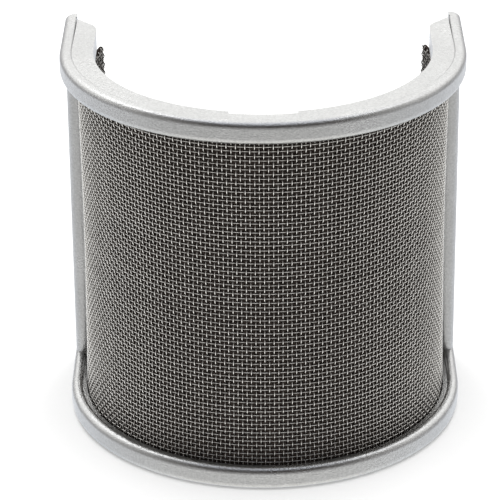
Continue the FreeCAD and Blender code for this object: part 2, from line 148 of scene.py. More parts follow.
def clockwise(out: np.ndarray, height: np.ndarray) -> tuple[np.ndarray, np.ndarray]:
    """Orders a closed profile clockwise, by its area's sign, so that its sheet faces outwards."""
    area = np.sum(out * np.roll(height, -1) - np.roll(out, -1) * height)
    return (out[::-1], height[::-1]) if area > 0 else (out, height)


def scatter(piece: bpy.types.Object, name: str, values: np.ndarray) -> None:
    """Stores one number for each of a piece's points, for its material to read."""
    numbers = piece.data.attributes.new(name, "FLOAT", "POINT").data
    numbers.foreach_set("value", values.astype(np.float32).ravel())


# ---------------------------------------------------------------- the U-shaped course


@dataclass(frozen=True)
class Course:
    """The line that a screen follows in plan: a half circle round the front, with an arm at each end.

    Attributes:
        radius: of the half circle, in mm.
        reach: how far each arm runs behind the microphone's axis, in mm.
        axis_y: the microphone axis's y in the model's frame, in mm.
        waist: how far the screen is drawn in at half height, in mm.
        height: of the whole part, in mm, over which the waist runs.
        leave: where along an arm the screen leaves its slots and leans inwards, in mm behind the axis. It
            stays in them when this is past the arm's end.
        lean: how far it has leaned in at the arm's end, in mm.
        lean_power: the power of the way passed that the lean grows by, 1 being straight.
    """

    radius: float
    reach: float
    axis_y: float
    waist: float
    height: float
    leave: float = math.inf
    lean: float = 0.0
    lean_power: float = 1.1

    @property
    def quarter(self) -> float:
        """Length of a quarter circle, from the front to where an arm starts, in mm."""
        return self.radius * math.pi / 2

    @property
    def half(self) -> float:
        """Length from the front to an arm's end, in mm."""
        return self.quarter + self.reach

    def freed(self, run: np.ndarray) -> np.ndarray:
        """How far each run is past the point where its arm leaves the slots, in mm."""
        return np.clip(np.abs(run) - self.quarter - self.leave, 0, None)

    def place(self, run: np.ndarray, out: np.ndarray, height: np.ndarray) -> np.ndarray:
        """Points beside the course.

        On the half circle a point stands at the angle run / radius from the front, at the distance
        radius + out from the axis. Past the quarter circle it moves straight back by the rest of the run. The
        waist draws it in by waist * sin(pi * z / height), and a free end leans in by lean times the power of
        the part of it that is passed.

        Args:
            run: distance along the course from the front, positive to the right, in mm.
            out: distance outwards from the course, in mm.
            height: z, in mm.

        Returns:
            Points in mm, with a last axis of 3.
        """
        run, out, height = np.broadcast_arrays(run, out, height)
        angle = np.clip(run, -self.quarter, self.quarter) / self.radius
        back = np.clip(np.abs(run) - self.quarter, 0, None)
        passed = self.freed(run) / max(self.reach - self.leave, TINY)
        drawn = self.waist * np.sin(np.pi * np.clip(height / self.height, 0, 1))
        reach = self.radius + out - drawn
        x = reach * np.sin(angle) - np.sign(run) * self.lean * passed**self.lean_power
        y = self.axis_y + back - reach * np.cos(angle)
        return np.stack([x, y, height], axis=-1)

    def heading(self, run: np.ndarray) -> tuple[np.ndarray, np.ndarray]:
        """Directions beside the course: (sin a, -cos a) and (cos a, sin a) at the angle a = run / radius.

        Args:
            run: distance along the course from the front, in mm.

        Returns:
            The unit vectors outwards from the course, and along it.
        """
        angle = np.clip(run, -self.quarter, self.quarter) / self.radius
        flat = np.zeros_like(angle)
        outwards = np.stack([np.sin(angle), -np.cos(angle), flat], axis=-1)
        along = np.stack([np.cos(angle), np.sin(angle), flat], axis=-1)
        return outwards, along


# ---------------------------------------------------------------- node helpers


class Nodes:
    """A short way to build the nodes of one tree."""

    def __init__(self, tree: bpy.types.NodeTree) -> None:
        """Keeps the tree that the nodes go in."""
        self.tree = tree

    def add(self, kind: str, **settings: object) -> bpy.types.Node:
        """Adds a node.

        Args:
            kind: the node's type.
            settings: its properties, by name.

        Returns:
            The new node.
        """
        node = self.tree.nodes.new(kind)
        for key, value in settings.items():
            setattr(node, key, value)
        return node

    def feed(self, socket: bpy.types.NodeSocket, source: object) -> None:
        """Links an output to a socket, or sets the socket's own value.

        Args:
            socket: the input to feed.
            source: the output socket, number or colour that it takes.
        """
        if isinstance(source, bpy.types.NodeSocket):
            self.tree.links.new(source, socket)
        else:
            socket.default_value = source

    def maths(self, operation: str, *inputs: object, clamp: bool = False) -> bpy.types.NodeSocket:
        """Works on numbers or sockets with a Math node.

        Args:
            operation: what the node does.
            inputs: what it does it to, in order.
            clamp: whether the result is held between 0 and 1.

        Returns:
            The result.
        """
        node = self.add("ShaderNodeMath", operation=operation, use_clamp=clamp)
        for socket, source in zip(node.inputs, inputs):
            self.feed(socket, source)
        return node.outputs[0]

    def noise(
        self, vector: bpy.types.NodeSocket, scale: float, detail: float = 2.0, rough: float = 0.5
    ) -> bpy.types.NodeSocket:
        """Noise over a vector.

        Args:
            vector: where it is read.
            scale: in cycles per unit of the vector.
            detail: how many finer layers are laid over the first.
            rough: how strong each layer is beside the one before.

        Returns:
            The noise, from 0 to 1.
        """
        node = self.add("ShaderNodeTexNoise")
        self.feed(node.inputs["Vector"], vector)
        for key, number in (("Scale", scale), ("Detail", detail), ("Roughness", rough)):
            node.inputs[key].default_value = number
        return node.outputs["Fac"]

    def cells(self, vector: bpy.types.NodeSocket, scale: float) -> bpy.types.NodeSocket:
        """Scattered cells, as a Voronoi node makes them.

        Args:
            vector: where they are read.
            scale: in cells per unit of the vector.

        Returns:
            The distance from the middle of the nearest cell, in cells.
        """
        node = self.add("ShaderNodeTexVoronoi")
        self.feed(node.inputs["Vector"], vector)
        node.inputs["Scale"].default_value = scale
        return node.outputs["Distance"]

    def span(
        self, value: object, over: tuple[float, float] = (0.0, 1.0), to: tuple[float, float] = (0.0, 1.0)
    ) -> bpy.types.NodeSocket:
        """Maps one range of a value to another, smoothly and held at the ends.

        Args:
            value: the number or socket.
            over: the range that it is taken over.
            to: the results at that range's two ends.

        Returns:
            The mapped value.
        """
        node = self.add("ShaderNodeMapRange", interpolation_type="SMOOTHSTEP")
        self.feed(node.inputs["Value"], value)
        for key, number in zip(("From Min", "From Max", "To Min", "To Max"), (*over, *to)):
            node.inputs[key].default_value = number
        return node.outputs["Result"]

    def blend(self, factor: object, first: object, second: object) -> bpy.types.NodeSocket:
        """Mixes two colours. A Mix node's sockets share their names, so the colours' own are found by type.

        Args:
            factor: how much of the second, from 0 to 1.
            first: a colour or socket.
            second: a colour or socket.

        Returns:
            The mixed colour.
        """
        node = self.add("ShaderNodeMix", data_type="RGBA")
        self.feed(node.inputs["Factor"], factor)
        colours = [socket for socket in node.inputs if socket.type == "RGBA"]
        self.feed(colours[0], first)
        self.feed(colours[1], second)
        return next(socket for socket in node.outputs if socket.type == "RGBA")

    def bump(self, height: object, strength: float, distance: float) -> bpy.types.NodeSocket:
        """Bumps the surface.

        Args:
            height: the bumps' height, as a part of the distance.
            strength: how much of the bumping shows, from 0 to 1.
            distance: how tall a height of 1 is, in metres.

        Returns:
            The bumped normal.
        """
        node = self.add("ShaderNodeBump")
        self.feed(node.inputs["Height"], height)
        node.inputs["Strength"].default_value = strength
        node.inputs["Distance"].default_value = distance
        return node.outputs["Normal"]

    def scaled(self, vector: object, factor: object) -> bpy.types.NodeSocket:
        """Multiplies a vector by a number.

        Args:
            vector: the vector or its socket.
            factor: the number or its socket.

        Returns:
            The product.
        """
        node = self.add("ShaderNodeVectorMath", operation="SCALE")
        self.feed(node.inputs[0], vector)
        self.feed(node.inputs["Scale"], factor)
        return node.outputs[0]

    def place_group(
        self, group: bpy.types.NodeTree, vector: bpy.types.NodeSocket, **values: float
    ) -> bpy.types.Node:
        """Places a node group with its own values.

        Args:
            group: the group.
            vector: where it is read.
            values: its numbers, by name.

        Returns:
            The group's node.
        """
        node = self.add("ShaderNodeGroup", node_tree=group)
        self.feed(node.inputs["Vector"], vector)
        for key, value in values.items():
            node.inputs[key].default_value = value
        return node


def open_group(
    name: str, inputs: dict[str, float], outputs: Sequence[str]
) -> tuple[bpy.types.NodeTree, Nodes, bpy.types.Node, bpy.types.Node]:
    """Starts a shader node group.

    Args:
        name: the group's name.
        inputs: the name and default of each number it takes; it also takes a Vector.
        outputs: the name of each number that it puts out.

    Returns:
        The group, its helper, and its input and output nodes.
    """
    group = bpy.data.node_groups.new(name, "ShaderNodeTree")
    group.interface.new_socket("Vector", in_out="INPUT", socket_type="NodeSocketVector")
    for key, value in inputs.items():
        socket = group.interface.new_socket(key, in_out="INPUT", socket_type="NodeSocketFloat")
        socket.default_value = value
    for key in outputs:
        group.interface.new_socket(key, in_out="OUTPUT", socket_type="NodeSocketFloat")
    nodes = Nodes(group)
    return group, nodes, nodes.add("NodeGroupInput"), nodes.add("NodeGroupOutput")


def grain_group() -> bpy.types.NodeTree:
    """Fine metallic grain: flakes of random brightness in a slightly uneven film.

    Returns:
        The group. Its Tone is near 1 and varies from flake to flake, and its Height is for a Bump node.
        Flakes is in cells per metre, and Depth is how much the Tone varies.
    """
    found = bpy.data.node_groups.get("paint_grain")
    if found:
        return found
    defaults = {"Flakes": 3000.0, "Depth": 0.65}
    group, n, source, sink = open_group("paint_grain", defaults, ("Tone", "Height"))
    vector = n.scaled(source.outputs["Vector"], source.outputs["Flakes"])
    bright = n.maths("SUBTRACT", n.noise(vector, scale=0.7, rough=0.6), 0.5)
    n.feed(sink.inputs["Tone"], n.maths("MULTIPLY_ADD", bright, source.outputs["Depth"], 1.0))
    film = n.noise(source.outputs["Vector"], scale=3200.0)
    n.feed(sink.inputs["Height"], n.maths("MULTIPLY_ADD", n.cells(vector, scale=1.0), 0.5, film))
    return group


def unevenness_group() -> bpy.types.NodeTree:
    """Broad, soft patches, as handling, dust and ageing leave them.

    Returns:
        The group. Its Mask runs from 0 to 1, and its Scale is in patches per metre.
    """
    found = bpy.data.node_groups.get("soft_unevenness")
    if found:
        return found
    group, n, source, sink = open_group("soft_unevenness", {"Scale": 60.0}, ("Mask",))
    vector = n.scaled(source.outputs["Vector"], source.outputs["Scale"])
    n.feed(sink.inputs["Mask"], n.span(n.noise(vector, scale=1.0, detail=4.0, rough=0.6), over=(0.35, 0.65)))
    return group


def start_material(name: str) -> tuple[bpy.types.Material, Nodes, bpy.types.Node, bpy.types.NodeSocket]:
    """A material with an empty Principled shader.

    Args:
        name: the material's name.

    Returns:
        The material, its node helper, its shader and its Object coordinates.
    """
    material = bpy.data.materials.new(name)
    material.use_nodes = True
    n = Nodes(material.node_tree)
    shader = material.node_tree.nodes["Principled BSDF"]
    coords = n.add("ShaderNodeTexCoord").outputs["Object"]
    return material, n, shader, coords


# ---------------------------------------------------------------- finishes


@dataclass(frozen=True)
class SilverPaint:
    """Sprayed silver paint with fine aluminium flake, on the frame.

    Attributes:
        name: of the material.
        colour: of the flake, linear.
        roughness: of the paint film where it is cleanest.
        dulled: what hands have added to the roughness where it is dullest.
        dulled_tone: tone of the dullest patches beside the cleanest.
        flakes: flake cells per metre.
        sparkle: how much the flakes differ in brightness.
        patches: patches of handling per metre.
        relief: height of the flakes and the orange peel, in metres.
    """

    name: str = "silver_paint"
    colour: Triple = (0.475, 0.475, 0.471)
    roughness: float = 0.27
    dulled: float = 0.03
    dulled_tone: float = 0.96
    flakes: float = 3000.0
    sparkle: float = 0.65
    patches: float = 45.0
    relief: float = 0.0001

    def make(self) -> bpy.types.Material:
        """Builds the material: flake tone on the colour, and a fine bump of flake and orange peel.

        Returns:
            The material.
        """
        material, n, shader, coords = start_material(self.name)
        grain = n.place_group(grain_group(), coords, Flakes=self.flakes, Depth=self.sparkle)
        hands = n.place_group(unevenness_group(), coords, Scale=self.patches).outputs["Mask"]
        tone = n.maths("MULTIPLY", grain.outputs["Tone"], n.span(hands, to=(self.dulled_tone, 1.0)))
        shade = n.add("ShaderNodeCombineColor")
        for key, part in zip(("Red", "Green", "Blue"), self.colour):
            n.feed(shade.inputs[key], n.maths("MULTIPLY", tone, part, clamp=True))
        n.feed(shader.inputs["Base Color"], shade.outputs[0])
        shader.inputs["Metallic"].default_value = 1.0
        n.feed(shader.inputs["Roughness"], n.span(hands, to=(self.roughness + self.dulled, self.roughness)))
        n.feed(shader.inputs["Normal"], n.bump(grain.outputs["Height"], strength=0.60, distance=self.relief))
        return material


@dataclass(frozen=True)
class WireSteel:
    """Drawn stainless wire, slightly dulled, on the two woven cloths.

    Attributes:
        name: of the material.
        bright: colour where a wire is lightest, with the painted highlight of a crest, linear.
        dull: colour where it is darkest, with the painted shade of a crossing.
        smoothest: least roughness of the drawn surface.
        roughest: most roughness.
        spots: spots of dirt per metre.
        spotted: what part of the tone the spots make up, the wire's own number being the rest.
    """

    name: str = "wire_steel"
    bright: Colour = (1.0, 0.98, 0.94, 1.0)
    dull: Colour = (0.19, 0.176, 0.158, 1.0)
    smoothest: float = 0.20
    roughest: float = 0.30
    spots: float = 900.0
    spotted: float = 0.2

    def make(self) -> bpy.types.Material:
        """Builds the material: each wire has its own tone along it, broken up by fine spots.

        Returns:
            The material.
        """
        material, n, shader, coords = start_material(self.name)
        # the wire's tone, with painted highlight on the crests and painted shade in the crossings
        wire = n.add("ShaderNodeAttribute", attribute_name=WIRE_TONE_AND_SHADE).outputs["Fac"]
        spots = n.noise(coords, self.spots, detail=3.0, rough=0.6)
        own, dirt = n.maths("MULTIPLY", wire, 1.0 - self.spotted), n.maths("MULTIPLY", spots, self.spotted)
        clean = n.span(n.maths("ADD", own, dirt), over=(0.1, 0.8))
        n.feed(shader.inputs["Base Color"], n.blend(clean, self.dull, self.bright))
        shader.inputs["Metallic"].default_value = 1.0
        n.feed(shader.inputs["Roughness"], n.span(spots, over=(0.3, 0.7), to=(self.smoothest, self.roughest)))
        return material


@dataclass(frozen=True)
class OpenFoam:
    """Dark open-cell foam with a brown cast.

    Attributes:
        name: of the material.
        cell: pore cells per metre.
        wall: colour of the cell walls, linear.
        pore_shade: colour in the pores, a painted shade of their depth.
        relief: height of the walls over the pores, in metres.
    """

    name: str = "open_foam"
    cell: float = 2600.0
    wall: Colour = (0.034, 0.026, 0.022, 1.0)
    pore_shade: Colour = (0.004, 0.003, 0.003, 1.0)
    relief: float = 0.0002

    def make(self) -> bpy.types.Material:
        """Builds the material: pale cell walls round dark pores, bumped the same way.

        Returns:
            The material.
        """
        material, n, shader, coords = start_material(self.name)
        walls = n.span(n.cells(coords, self.cell), over=(0.15, 0.6))
        # the pores take a darker colour than the walls: painted shade in the pores
        n.feed(shader.inputs["Base Color"], n.blend(walls, self.pore_shade, self.wall))
        shader.inputs["Roughness"].default_value = 0.95
        shader.inputs["Specular IOR Level"].default_value = 0.08
        n.feed(shader.inputs["Normal"], n.bump(walls, strength=0.8, distance=self.relief))
        return material


@dataclass(frozen=True)
class BandRubber:
    """Matt black rubber, dusted with talc, on the two bands.

    Attributes:
        name: of the material.
        colour: of clean rubber, linear.
        talc: colour where the talc lies.
        patches: patches of talc per metre.
        relief: height of the mould's texture, in metres.
    """

    name: str = "band_rubber"
    colour: Colour = (0.018, 0.018, 0.019, 1.0)
    talc: Colour = (0.060, 0.060, 0.062, 1.0)
    patches: float = 220.0
    relief: float = 0.00005

    def make(self) -> bpy.types.Material:
        """Builds the material: patches of talc, and a fine bump from the mould.

        Returns:
            The material.
        """
        material, n, shader, coords = start_material(self.name)
        dust = n.place_group(unevenness_group(), coords, Scale=self.patches).outputs["Mask"]
        n.feed(shader.inputs["Base Color"], n.blend(dust, self.colour, self.talc))
        n.feed(shader.inputs["Roughness"], n.span(dust, to=(0.55, 0.8)))
        mould = n.noise(coords, scale=3000.0)
        n.feed(shader.inputs["Normal"], n.bump(mould, strength=0.3, distance=self.relief))
        return material


@dataclass(frozen=True)
class ScrewSteel:
    """Zinc-plated steel on the foot screws.

    Attributes:
        name: of the material.
        colour: of the plating, linear.
        worn: colour where a driver has rubbed it.
        patches: patches of wear per metre.
        relief: height of the plating's texture, in metres.
    """

    name: str = "screw_steel"
    colour: Colour = (0.55, 0.56, 0.58, 1.0)
    worn: Colour = (0.38, 0.37, 0.36, 1.0)
    patches: float = 900.0
    relief: float = 0.00003

    def make(self) -> bpy.types.Material:
        """Builds the material: dull patches, and the plating's fine texture.

        Returns:
            The material.
        """
        material, n, shader, coords = start_material(self.name)
        wear = n.place_group(unevenness_group(), coords, Scale=self.patches).outputs["Mask"]
        n.feed(shader.inputs["Base Color"], n.blend(wear, self.colour, self.worn))
        shader.inputs["Metallic"].default_value = 1.0
        n.feed(shader.inputs["Roughness"], n.span(wear, to=(0.25, 0.45)))
        plating = n.noise(coords, scale=6000.0)
        n.feed(shader.inputs["Normal"], n.bump(plating, strength=0.2, distance=self.relief))
        return material


@dataclass(frozen=True)
class StudioPaper:
    """Smooth white paper under the part.

    Attributes:
        name: of the material.
        colour: of the paper, linear.
        shade: how much darker the dips of its tooth are, as a part of the colour.
        relief: height of the tooth, in metres.
    """

    name: str = "studio_paper"
    colour: Colour = (0.90, 0.90, 0.90, 1.0)
    shade: float = 0.985
    relief: float = 0.0001

    def make(self) -> bpy.types.Material:
        """Builds the material: a faint tooth in the paper.

        Returns:
            The material.
        """
        material, n, shader, coords = start_material(self.name)
        tooth = n.noise(coords, scale=700.0, detail=3.0)
        faint = (*(self.shade * part for part in self.colour[:3]), 1.0)
        n.feed(shader.inputs["Base Color"], n.blend(tooth, faint, self.colour))
        shader.inputs["Roughness"].default_value = 0.9
        shader.inputs["Specular IOR Level"].default_value = 0.0
        n.feed(shader.inputs["Normal"], n.bump(tooth, strength=0.05, distance=self.relief))
        return material


def dress_nodes(
    nodes: dict[str, bpy.types.Object], names: Sequence[str], material: bpy.types.Material
) -> None:
    """Puts one material in every slot of the named nodes.

    Args:
        nodes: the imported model's nodes, by name.
        names: of the nodes to dress.
        material: their finish.
    """
    for name in names:
        mesh = nodes[name].data
        if not mesh.materials:
            mesh.materials.append(material)
        for index in range(len(mesh.materials)):
            mesh.materials[index] = material
        log.info("%s: %s", name, material.name)


# ---------------------------------------------------------------- sub-assemblies


@dataclass
class PaintedFrame:
    """Both rims, their retaining rings and the two posts, all sprayed silver.

    Attributes:
        paint: the finish.
    """

    paint: SilverPaint = SilverPaint()

    def names(self) -> list[str]:
        """The frame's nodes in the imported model."""
        rims = [f"{level.value}_{part}" for level in Level for part in ("rim", "inner_ring")]
        return rims + [f"{side.value}_post" for side in Side]

    def dress(self, nodes: dict[str, bpy.types.Object]) -> None:
        """Gives every node of the frame its paint."""
        dress_nodes(nodes, self.names(), self.paint.make())


@dataclass(frozen=True)
class LayHabit:
    """How the wires of one lay run and wear.

    Attributes:
        crimp: how far a wire moves out and in at the crossings, as a part of its diameter.
        outside: 1 where a wire passes outside the other lay at the even crossings, and -1 at the odd ones.
        valley_shade_and_grime: its tone where it dips behind the other lay, from 0 to 1: painted shade of the
            crossing, with a little grime.
        clean: its tone where it passes outside: a painted highlight on the crest.
        seed: what the lay adds to its cloth's seed.
    """

    crimp: float
    outside: int
    valley_shade_and_grime: float
    clean: float
    seed: int


# The level wires' tone is lower on the crests and in the crossings than the uprights': painted shade, as the
# uprights shade them.
HABITS = {
    Lay.UPRIGHT: LayHabit(crimp=1.0, outside=1, valley_shade_and_grime=0.1, clean=1.0, seed=0),
    Lay.LEVEL: LayHabit(crimp=0.0, outside=-1, valley_shade_and_grime=0.2, clean=0.75, seed=50),
}


@dataclass
class WovenCloth:
    """One woven wire cloth, made of upright and level wires that pass over and under each other.

    Attributes:
        node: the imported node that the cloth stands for.
        course: the line of its middle in plan, in mm.
        base: lowest point of the cloth, in mm.
        top: highest point, in mm.
        wire: wire diameter, in mm.
        pitch_run: distance between upright wires, in mm.
        pitch_height: distance between level wires, in mm.
        sides: points round a wire.
        steps: cross-sections along a wire for each crossing.
        shares: how many pieces the wires of each lay are shared between.
        shift: spread of each wire's own shift from its place, in mm.
        drift: how far neighbouring wires stray together, in mm.
        drift_length: the stretch of cloth in which the drift turns by a radian, in mm.
        sway: how far a wire sways along its length, in mm.
        sway_length: the stretch of wire in which the sway turns by a radian, in mm.
        sway_step: how much the sway turns from a wire to the next, in radians.
        fray: how far a cut end may stand past its place, in mm.
        fray_short: how far it may stand short of it, as a part of the fray.
        fray_part: the part of a wire's half length that moves with its cut end.
        shine: how light the lightest wire is, from 0 to 1.
        dullest: how light the dullest wire is beside the lightest.
        seed: of the cloth's random numbers.
        tone_seed: what the wires' tones and cut ends add to the seed.
    """

    node: str
    course: Course
    base: float
    top: float
    wire: float = 0.22
    pitch_run: float = 0.99
    pitch_height: float = 1.045
    sides: int = 5
    steps: int = 4
    shares: int = 3
    shift: float = 0.022
    drift: float = 0.05
    drift_length: float = 9.0
    sway: float = 0.02
    sway_length: float = 7.0
    sway_step: float = 1.7
    fray: float = 0.0
    fray_short: float = 0.3
    fray_part: float = 0.03
    shine: float = 1.0
    dullest: float = 0.7
    seed: int = 1
    tone_seed: int = 9

    def counts(self) -> tuple[int, int]:
        """How many upright and level wires the cloth has."""
        return int(2 * self.course.half / self.pitch_run), int((self.top - self.base) / self.pitch_height)

    def stations(self, lay: Lay) -> tuple[np.ndarray, np.ndarray]:
        """Where the wires of a lay stand, evenly about the middle of the cloth.

        The whole lay drifts by drift * sin(place / drift length + a random start), and each wire is shifted
        by a little of its own.

        Args:
            lay: which family of wires.

        Returns:
            The even places, and how far each wire wanders from its place, in mm.
        """
        upright, level = self.counts()
        count, pitch = (upright, self.pitch_run) if lay is Lay.UPRIGHT else (level, self.pitch_height)
        middle = 0.0 if lay is Lay.UPRIGHT else (self.base + self.top) / 2
        even = middle + (np.arange(count) - (count - 1) / 2) * pitch
        rng = np.random.default_rng(self.seed + HABITS[lay].seed)
        own = rng.normal(0.0, self.shift, count)
        drift = self.drift * np.sin(even / self.drift_length + rng.uniform(0, 6))
        return even, own + drift

    def wires(self, lay: Lay) -> tuple[np.ndarray, np.ndarray]:
        """All wires of one lay, as points.

        A wire's middle moves out and in as its crimp * cos(pi * (distance along it over the other lay's
        pitch + its own number)), so that neighbours are a half wave apart and every crossing has one wire
        outside the other. The uprights take the whole crimp, a wire's diameter, and the level wires run
        straight. A wire's cross-section is a circle in the plane square to it, between the vector across the
        cloth and the outward vector tipped by the wave's slope. Its cut ends move along it by a number of its
        own, up to the fray. Its tone is lightest on the crests, where it passes outside, as a painted
        highlight, and darkest where it dips behind the other lay, as painted shade of the crossing with a
        little grime.

        Args:
            lay: which family of wires.

        Returns:
            Points in metres, by wire, station and side, and each wire's tone at each station, from 0 to 1,
            with the painted highlight and shade in it.
        """
        habit = HABITS[lay]
        even, wander = self.stations(lay)
        crossing, _ = self.stations(lay.other())
        pitch = crossing[1] - crossing[0]
        spans = len(crossing)
        along = crossing[0] - pitch / 2 + pitch * np.linspace(0, spans, spans * self.steps + 1)
        number = np.arange(len(even))
        rng = np.random.default_rng(self.seed + self.tone_seed)
        clean = self.shine * rng.uniform(self.dullest, 1, len(even))
        middle_run = (along[0] + along[-1]) / 2
        beyond = (along - middle_run) / (along[-1] - middle_run)
        loose = np.clip((np.abs(beyond) - (1 - self.fray_part)) / self.fray_part, 0, 1) * np.sign(beyond)
        cut = self.fray * rng.uniform(-self.fray_short, 1.0, len(even))
        along = along[None, :] + cut[:, None] * loose[None, :]
        phase = np.pi * ((along - crossing[0]) / pitch + number[:, None])
        crimp = self.wire * habit.crimp * habit.outside
        out = crimp * np.cos(phase)
        slope = -crimp * np.pi / pitch * np.sin(phase)
        # Painted highlight on the crests, and painted shade where a wire dips behind the other lay, with a
        # little grime.
        crest = 0.5 + 0.5 * np.cos(phase) * habit.outside
        tone = clean[:, None] * (habit.valley_shade_and_grime + (habit.clean - habit.valley_shade_and_grime) * crest)
        sway = self.sway * np.sin(along / self.sway_length + number[:, None] * self.sway_step)
        across = (even + wander)[:, None] + sway
        run, height = (across, along) if lay is Lay.UPRIGHT else (along, across)
        middle = self.course.place(run, out, height)
        outwards, along_course = self.course.heading(run)
        up = np.broadcast_to(np.array([0.0, 0.0, 1.0]), outwards.shape)
        axis, beside = (up, -along_course) if lay is Lay.UPRIGHT else (along_course, up)
        tipped = (outwards - axis * slope[..., None]) / np.sqrt(1 + slope**2)[..., None]
        turn = (np.arange(self.sides) * 2 * np.pi / self.sides)[:, None]
        ring = np.cos(turn) * beside[:, :, None, :] + np.sin(turn) * tipped[:, :, None, :]
        return (middle[:, :, None, :] + self.wire / 2 * ring) * MM, tone

    def build(self, material: bpy.types.Material, body: str, slot: str) -> list[bpy.types.Object]:
        """Builds the cloth's pieces, each a share of one lay's wires.

        Args:
            material: the wire's finish.
            body: the body that the cloth rides on.
            slot: the record's material slot; not used.

        Returns:
            The pieces.
        """
        pieces = []
        for lay in Lay:
            points, tone = self.wires(lay)
            for index, share in enumerate(np.array_split(np.arange(len(points)), self.shares)):
                part = points[share]
                count, stations, sides, _ = part.shape
                name = f"{self.node}_{lay.value}_{index + 1}"
                piece = mesh_piece(name, part.reshape(-1, 3), tube_faces(count, stations, sides))
                # each wire's tone, painted highlight and shade included
                scatter(piece, WIRE_TONE_AND_SHADE, np.repeat(tone[share].ravel(), sides))
                piece.data.materials.append(material)
                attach(piece, body)
                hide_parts(self.node)
                pieces.append(piece)
        log.info("%s: %d pieces, %s wires", self.node, len(pieces), self.counts())
        return pieces


@dataclass
class FoamSheet:
    """The sheet of open foam between the two cloths.

    Attributes:
        course: the line of its middle in plan, in mm.
        base: its lowest level, in mm.
        top: its highest level, in mm.
        flap_base: lowest level of its free ends, in mm.
        flap_top: highest level of its free ends, in mm.
        thick: of the sheet, in mm.
        round_edge: how much its edges are rounded, in mm.
        closing: the stretch in which its levels close in to the free ends', in mm.
        swell: how far its faces swell, in mm.
        swell_run: how fast the swell turns along the sheet, in radians per mm.
        swell_height: how fast it turns with height, in radians per mm.
        stations: cross-sections along the sheet.
        rows: points up each face.
        edge_steps: steps round each edge.
    """

    course: Course
    base: float
    top: float
    flap_base: float
    flap_top: float
    thick: float = 0.92
    round_edge: float = 0.4
    closing: float = 1.5
    swell: float = 0.03
    swell_run: float = 2.1
    swell_height: float = 1.9
    stations: int = 361
    rows: int = 120
    edge_steps: int = 6

    def profile(self) -> tuple[np.ndarray, np.ndarray]:
        """The sheet's cross-section: two straight faces, joined by half an ellipse at the top and the bottom.

        An edge's point at the angle a, from one face to the other, is half the thickness * sin(a) out and
        the rounding * cos(a) beyond the faces' ends.

        Returns:
            How far out each point is, and its height, in mm, clockwise.
        """
        half = self.thick / 2
        low, high = self.base + self.round_edge, self.top - self.round_edge
        face = np.linspace(low, high, self.rows)
        edge = np.linspace(-np.pi / 2, np.pi / 2, self.edge_steps + 1)[1:-1]
        beyond = self.round_edge * np.cos(edge)
        outer, inner = np.full(self.rows, half), np.full(self.rows, -half)
        out = np.concatenate([outer, half * -np.sin(edge), inner, half * np.sin(edge)])
        height = np.concatenate([face, high + beyond, face[::-1], low - beyond])
        return clockwise(out, height)

    def build(self, material: bpy.types.Material) -> bpy.types.Object:
        """Builds the sheet: its cross-section carried along the course, with a fine swell on both faces.

        The swell is swell * sin(run * its speed along) * sin(height * its speed up). Past the point where the
        arms' free ends leave the slots, the levels close in to theirs.

        Args:
            material: the foam's finish.

        Returns:
            The sheet.
        """
        runs = np.linspace(-self.course.half, self.course.half, self.stations)
        out, height = self.profile()
        across = np.sin(runs[:, None] * self.swell_run)
        swell = self.swell * across * np.sin(height[None, :] * self.swell_height)
        closed = np.clip(self.course.freed(runs) / self.closing, 0, 1)[:, None]
        low = self.base + (self.flap_base - self.base) * closed
        high = self.top + (self.flap_top - self.top) * closed
        level = low + (height[None, :] - self.base) / (self.top - self.base) * (high - low)
        points = self.course.place(runs[:, None], out[None, :] + swell * np.sign(out)[None, :], level)
        piece = mesh_piece("foam_sheet", points.reshape(-1, 3) * MM, tube_faces(1, len(runs), len(out)))
        piece.data.materials.append(material)
        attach(piece, "root")
        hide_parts("foam_liner")
        log.info("foam_sheet: %d points", len(piece.data.vertices))
        return piece


# ---------------------------------------------------------------- studio


@dataclass(frozen=True)
class Softbox:
    """A soft box that faces a point.

    Attributes:
        name: of the light.
        at: its place, in metres.
        to: the point that it faces.
        size: its two sides, in metres.
        power: in watts.
        shine: whether it shows in glossy surfaces, and only there.
    """

    name: str
    at: Triple
    to: Triple
    size: tuple[float, float]
    power: float
    shine: bool = True

    def hang(self) -> None:
        """Hangs the light."""
        data = bpy.data.lights.new(self.name, "AREA")
        data.shape = "RECTANGLE"
        data.size, data.size_y = self.size
        data.energy = self.power
        lamp = bpy.data.objects.new(self.name, data)
        lamp.location = self.at
        lamp.rotation_euler = (Vector(self.to) - Vector(self.at)).to_track_quat("-Z", "Y").to_euler()
        lamp.visible_camera = False
        lamp.visible_glossy = self.shine
        lamp.visible_diffuse = not self.shine
        bpy.context.scene.collection.objects.link(lamp)


